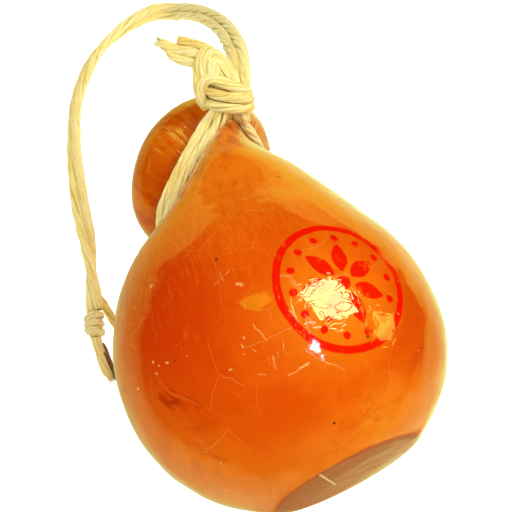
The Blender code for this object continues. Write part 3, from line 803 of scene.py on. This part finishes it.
def rind_material():
    s = Shade("waxed_rind")
    row_point = s.position()
    point = s.vector("SUBTRACT", s.vector("MULTIPLY", row_point, (1000.0,) * 3), tuple(BODY_CENTRE))
    x, y, z = s.split(point)
    broad = s.noise(point, 0.016, 3.0, 0.55)
    cloud = s.noise(point, 0.042, 4.0, 0.6, 0.5)
    blotch = s.noise(point, 0.10, 5.0, 0.65, 0.8)
    grain = s.noise(point, 0.8, 3.0, 0.6)

    def near(centre, inner, outer, ragged=0.0):
        away = s.vector("DISTANCE", point, tuple(float(c) for c in centre))
        if ragged:
            away = away + (blotch - 0.5) * ragged
        return s.ramp(away, inner, outer, 1.0, 0.0)

    # the neck's own coordinates: round it and along it
    axis, right, up = heading(NECK_PITCH, NECK_YAW, NECK_ROLL)
    from_neck = s.vector("SUBTRACT", point, tuple(NECK_CENTRE))
    along = s.vector("DOT_PRODUCT", from_neck, tuple(axis))
    turn = s.math("ARCTAN2", s.vector("DOT_PRODUCT", from_neck, tuple(up)),
                  s.vector("DOT_PRODUCT", from_neck, tuple(right)))
    around = s.join(s.math("COSINE", turn), s.math("SINE", turn), along * 0.012)
    folds = s.noise(around, 8.0, 3.0, 0.55)
    fine_folds = s.noise(around, 19.0, 3.0, 0.55)
    head = s.ramp(along, 1.5, 3.5)
    head_folds = head * s.ramp(along, 7.0, 17.0, 1.0, 0.0)
    shoulder_folds = s.ramp(along, -4.5, -5.5) * s.ramp(along, -32.0, -8.0)

    # colour
    colour = s.mix(linear(226, 82, 3), linear(238, 104, 8), s.ramp(broad + (cloud - 0.5) * 0.5, 0.36, 0.62))
    colour = s.mix(colour, linear(240, 128, 18), s.ramp(y, 12.0, 62.0) * 0.65)
    colour = s.mix(colour, linear(232, 122, 20), s.ramp(z, 46.0, 8.0) * 0.55)
    # painted shade: the left of the body darker and redder, where less light falls on it
    colour = s.mix(colour, linear(214, 56, 1), near((-36, 6, 44), 10, 42, 16) * 0.85)
    colour = s.mix(colour, linear(214, 74, 2), near((46, -22, 36), 8, 26, 14) * 0.8)
    # painted highlight: a yellow-orange glow round the key lamp's reflection
    colour = s.mix(colour, linear(252, 146, 20), near((12, -16, 58), 4, 32, 12) * 0.55)
    colour = s.mix(colour, linear(244, 136, 30), near((-4, -56, 24), 4, 30, 10) * 0.5)
    colour = s.mix(colour, linear(246, 144, 26), near((20, -46, 36), 3, 16, 8) * 0.55)
    colour = s.mix(colour, linear(196, 50, 1), s.ramp(blotch + (cloud - 0.5) * 0.6, 0.56, 0.76) * 0.42)
    brushed = s.noise(s.vector("MULTIPLY", point, (0.9, 0.07, 0.4)), 1.0, 3.0, 0.6, 0.3)
    colour = s.mix(colour, linear(250, 150, 40), s.ramp(brushed, 0.46, 0.70) * s.ramp(y, -8.0, 22.0) * 0.18)
    colour = s.mix(colour, linear(210, 72, 2), s.ramp(brushed, 0.50, 0.30) * s.ramp(y, -8.0, 22.0) * 0.20)
    colour = s.mix(colour, linear(248, 142, 30), s.ramp(blotch, 0.42, 0.24) * 0.22)
    wander = s.vector("SUBTRACT", s.noise(point, 0.22, 4.0, 0.7, out="Color"), (0.5, 0.5, 0.5))
    top = s.vector("ADD", point, s.vector("MULTIPLY", wander, (2.4, 2.4, 2.4)))
    u = s.vector("DOT_PRODUCT", top, tuple(VIEW_RIGHT))
    v = s.vector("DOT_PRODUCT", top, tuple(VIEW_UP))
    upper_side = s.ramp(s.vector("DOT_PRODUCT", point, tuple(TOWARDS_VIEWER)), 15.0, 25.0)
    down_right = s.join((u * 0.85 - v * 0.53) * 0.10, (u * 0.53 + v * 0.85) * 0.42, 0.0)
    smears = s.ramp(s.noise(down_right, 1.0, 4.0, 0.65, 0.3), 0.46, 0.62)
    smears = smears * stroke(s, u, v, (-39, -14), (-29, -18), 3.6) * upper_side
    colour = s.mix(colour, linear(172, 36, 0), smears * 0.75)
    drips = s.noise(s.vector("MULTIPLY", point, (0.22, 0.03, 0.03)), 1.0, 3.0, 0.6)
    colour = s.mix(colour, linear(206, 84, 8), s.ramp(drips, 0.50, 0.66) * s.ramp(z, 40.0, 0.0) * 0.35)
    stain = s.ramp(folds + (fine_folds - 0.5) * 0.7, 0.46, 0.62) * shoulder_folds
    colour = s.mix(colour, linear(150, 54, 6), stain * 0.72)
    head_tone = s.mix(linear(206, 78, 3), linear(226, 112, 8), s.ramp(cloud + (folds - 0.5) * 0.6, 0.40, 0.60))
    colour = s.mix(colour, head_tone, head)
    # painted highlight: fold crests near the noose lighter orange, where the wrinkles catch the light
    colour = s.mix(colour, linear(240, 138, 18), s.ramp(fine_folds, 0.52, 0.64) * head_folds * 0.6)
    flank = near((-9, 95, 5), 3, 15) * s.ramp(along, 8.0, 12.0)
    glints = s.ramp(s.noise(s.vector("MULTIPLY", around, (22.0, 22.0, 8.0)), 1.0, 2.0, 0.6), 0.53, 0.64) * flank
    glints = glints * s.ramp(s.noise(point, 0.16, 2.0), 0.36, 0.56)
    colour = s.mix(colour, linear(196, 66, 1), near((-22, 90, -4), 4, 16, 6) * head * 0.6)
    colour = s.mix(colour, linear(255, 190, 70), glints * 0.8)
    # painted shadow: dark band in the groove under the noose
    colour = s.mix(colour, linear(120, 34, 2), s.ramp(along, 5.2, 3.2) * s.ramp(along, -5.2, -3.2) * 0.5)

    cracks = s.math("MAXIMUM", crack_lines(s, point, 20.0, 0.14, 0.47, 3.0),
                    crack_lines(s, point, 12.0, 0.11, 0.54, 40.0) * 0.7)
    colour = s.mix(colour, linear(246, 156, 66), cracks * 0.45)
    pale_spots = s.ramp(s.cells(point, 0.16), 0.035, 0.065, 1.0, 0.0) * s.ramp(s.noise(point, 0.05, 2.0), 0.56, 0.60)
    colour = s.mix(colour, linear(255, 214, 176), pale_spots)
    dark = s.cells(s.vector("ADD", point, (9.0, 31.0, 4.0)), 0.075)
    colour = s.mix(colour, linear(120, 28, 2), s.ramp(dark, 0.02, 0.07, 1.0, 0.0) * 0.8)
    colour = s.mix(colour, linear(60, 16, 4), near((1.9, -47.0, 40.3), 0.35, 0.7))
    marks = 0.0
    for start, end, half_width, strength in PALE_MARKS:
        marks = s.math("MAXIMUM", marks, stroke(s, u, v, start, end, half_width) * strength)
    marks = marks * upper_side * s.ramp(grain + blotch, 0.62, 0.95, 0.35, 1.0)
    colour = s.mix(colour, linear(255, 196, 110), marks)

    # pressed base
    base_side = s.vector("DOT_PRODUCT", point, tuple(BASE_FACING))
    base = s.ramp(base_side + (blotch - 0.5) * 0.4, BASE_DEPTH - 0.75, BASE_DEPTH - 0.35)
    fibre = s.noise(s.vector("MULTIPLY", point, (0.035, 0.3, 0.55)), 1.0, 4.0, 0.6, 0.3)
    outer = s.math("SQRT", x * x + (z + 4.0) * (z + 4.0))
    milky = s.mix(linear(182, 86, 34), linear(190, 100, 48), s.ramp(z + (fibre - 0.5) * 22, 20.0, -16.0))
    milky = s.mix(milky, linear(206, 128, 72), s.ramp(fibre, 0.54, 0.72) * 0.35)
    milky = s.mix(milky, linear(150, 84, 36), s.ramp(fibre, 0.46, 0.30) * 0.35)
    # painted reflection: the facet paler towards its lower outer rim, where it mirrors the pale table
    milky = s.mix(milky, linear(222, 166, 112), s.ramp(outer, 22.0, 28.5) * s.ramp(z, 2.0, -14.0) * 0.5)
    slit_along = (x + 1.8) * 0.27 - (z - 6.5) * 0.96
    slit_across = s.math("ABSOLUTE", (x + 1.8) * 0.96 + (z - 6.5) * 0.27)
    slit = s.ramp(slit_across, 0.25, 0.6, 1.0, 0.0) * s.ramp(s.math("ABSOLUTE", slit_along), 14.0, 17.0, 1.0, 0.0)
    milky = s.mix(milky, linear(250, 214, 150), slit)
    colour = s.mix(colour, milky, base * 0.92)

    ink = stamp_ink(s, point)
    colour = s.mix(colour, linear(240, 10, 0), ink * 0.95)
    colour = s.mix(colour, (0.80, 0.80, 0.80), 1.0, "MULTIPLY")
    s.put(s.shader.inputs["Base Color"], colour)

    s.put(s.shader.inputs["Roughness"], s.ramp(cloud, 0.3, 0.7, 0.34, 0.48))
    s.put(s.shader.inputs["IOR"], 1.45)
    s.put(s.shader.inputs["Specular IOR Level"], 0.0)
    s.put(s.shader.inputs["Coat Weight"], 1.0)
    s.put(s.shader.inputs["Coat Roughness"], 0.05)
    s.put(s.shader.inputs["Coat IOR"], 1.5)

    worm = s.noise(s.vector("MULTIPLY", point, (0.8, 1.25, 1.25)), 0.15, 1.0, 0.4, 0.9)
    valleys = s.ramp(s.math("ABSOLUTE", s.math("FRACT", worm * 4.0) - 0.5), 0.0, 0.16, 1.0, 0.0)
    crinkled = s.math("MAXIMUM", near((12.7, -11.9, 59.3), 8, 15), near((29.3, -22.1, 50.3), 6, 11))
    crinkled = crinkled * 0.85 + 0.06
    height = (broad * 1.0 + cloud * 0.22 + blotch * 0.015 + grain * 0.003 - cracks * 0.02
              - valleys * crinkled * 0.045 - marks * 0.03)
    height = height + (folds * 0.7 + fine_folds * 1.6) * head_folds + (folds * 0.5 + fine_folds * 0.2) * shoulder_folds
    normal = s.bump(height, 0.001)
    s.put(s.shader.inputs["Normal"], normal)
    s.put(s.shader.inputs["Coat Normal"], normal)
    return s.material


make_cheese(rind_material())


# ---------------------------------------------------------------- floor, light and sky
def glow(name, strength, base=0.0, colour=(1.0, 1.0, 1.0)):
    s = Shade(name)
    s.put(s.shader.inputs["Base Color"], (base, base, base))
    s.put(s.shader.inputs["Roughness"], 0.9)
    s.put(s.shader.inputs["Specular IOR Level"], 0.1 if base else 0.0)
    s.put(s.shader.inputs["Emission Color"], colour)
    s.put(s.shader.inputs["Emission Strength"], strength)
    return s.material


def add_stage(name, points, faces, material, seen_by):
    mesh = bpy.data.meshes.new(name)
    mesh.from_pydata(points, [], faces)
    mesh.materials.append(material)
    item = bpy.data.objects.new(name, mesh)
    bpy.context.scene.collection.objects.link(item)
    item.visible_camera = "camera" in seen_by
    item.visible_diffuse = "diffuse" in seen_by
    item.visible_glossy = "glossy" in seen_by
    item.visible_shadow = False
    return item


def wall(radius, low, high, start, end):
    """Upright strip round the object, between two compass directions in degrees from +X."""
    count = 48
    turns = np.radians(np.linspace(start, end, count + 1))
    points = [(radius * math.cos(t), radius * math.sin(t), height) for t in turns for height in (low, high)]
    faces = [(2 * i, 2 * i + 2, 2 * i + 3, 2 * i + 1) for i in range(count)]
    return points, faces


def card(left, right, near, far):
    """Level sheet just under the floor."""
    height = -0.01
    corners = [(left, near, height), (right, near, height), (right, far, height), (left, far, height)]
    return corners, [(0, 1, 2, 3)]


def square(half, height):
    return [(-half, -half, height), (half, -half, height), (half, half, height), (-half, half, height)], [(0, 1, 2, 3)]


def mirror_floor_material():
    """What the glaze mirrors of the table: bright close by and to the right, dim before the base."""
    s = Shade("mirror_floor")
    x, y, _ = s.split(s.position())
    away = s.math("SQRT", x * x + (y + 0.02) * (y + 0.02))
    level = s.ramp(x, -0.04, 0.08, 0.74, 1.45)
    level = level + s.ramp(y, -0.08, -0.12) * s.ramp(x, -0.03, -0.05) * 0.25
    level = level - s.ramp(y, 0.0, -0.10) * s.ramp(x, 0.08, 0.14) * 0.3
    before_base = s.ramp(s.math("ABSOLUTE", x - 0.028), 0.045, 0.07, 1.0, 0.0) * s.ramp(y, -0.086, -0.104)
    level = level * (1 - before_base * 0.75)
    reach = s.ramp(away - s.math("MAXIMUM", y, 0.0) * 1.2, s.ramp(x, -0.04, 0.08, 0.19, 0.28),
                   s.ramp(x, -0.04, 0.08, 0.33, 0.46), 1.0, 0.0)
    red = s.ramp(away, 0.10, 0.30, 0.74, 0.70) + before_base * 0.5
    blue = s.ramp(away, 0.10, 0.34, 0.38, 0.10)
    s.put(s.shader.inputs["Base Color"], (0.0, 0.0, 0.0))
    s.put(s.shader.inputs["Specular IOR Level"], 0.0)
    s.put(s.shader.inputs["Emission Color"], s.join(red, 1.0, blue))
    s.put(s.shader.inputs["Emission Strength"], level * reach)
    return s.material


def make_studio():
    add_stage("floor", *square(9.0, 0.0), glow("pale_floor", 0.80, 0.8), ("camera", "diffuse"))
    add_stage("backdrop", *wall(8.5, -0.2, 9.0, 0, 360), glow("pale_backdrop", 1.0), ("camera",))
    add_stage("mirror_floor", *card(-1.4, 0.9, -0.5, 3.0), mirror_floor_material(), ("glossy",))
    horizon = glow("horizon", 0.9, colour=(0.9, 1.0, 0.12))
    add_stage("horizon", *wall(1.9, -0.01, 0.24, 48, 120), horizon, ("glossy",))
    sky = bpy.data.worlds.new("studio")
    bpy.context.scene.world = sky
    sky.use_nodes = True
    sky.node_tree.nodes["Background"].inputs["Color"].default_value = (1.0, 0.97, 0.92, 1.0)
    sky.node_tree.nodes["Background"].inputs["Strength"].default_value = 0.46
    sky.cycles_visibility.glossy = False


def add_light(name, direction, degrees, radiance, colour, lights=True, mirrored=True, roll=0.0, distance=1.0):
    """Square lamp seen from the body's centre in a direction, so many degrees wide."""
    size = 2 * distance * math.tan(math.radians(degrees / 2))
    light = bpy.data.lights.new(name, "AREA")
    light.shape = "SQUARE"
    light.size = size
    light.energy = radiance * math.pi * size * size
    light.color = colour
    item = bpy.data.objects.new(name, light)
    centre = Vector(world((0, 0, 0)))
    way = Vector(unit(direction))
    item.location = centre + way * distance
    turn = way.to_track_quat("Z", "Y") @ Euler((0.0, 0.0, math.radians(roll))).to_quaternion()
    item.rotation_euler = turn.to_euler()
    item.visible_camera = False
    item.visible_glossy = mirrored
    item.visible_diffuse = lights
    bpy.context.scene.collection.objects.link(item)


make_studio()
add_light("key", (0.42, 0.0, 0.90), 34, 5.4, (1.0, 0.96, 0.88), mirrored=False)
add_light("fill", (-0.20, -0.35, 0.90), 45, 2.3, (1.0, 0.97, 0.92), mirrored=False)
add_light("key_card", (0.53, 0.03, 0.85), 27, 22.0, (0.8, 1.0, 0.42), lights=False, roll=20)
add_light("side_card", (0.93, -0.20, 0.36), 13, 8.0, (0.9, 0.90, 0.10), lights=False)
add_light("flash", (0.24, -0.455, 0.895), 6, 34.0, (0.95, 0.92, 1.0), lights=False, roll=35)
add_light("amber_card", (-0.18, 0.18, 0.97), 13, 2.8, (0.45, 1.0, 0.03), lights=False, roll=-25, distance=0.245)
bpy.context.scene.view_settings.view_transform = "Standard"
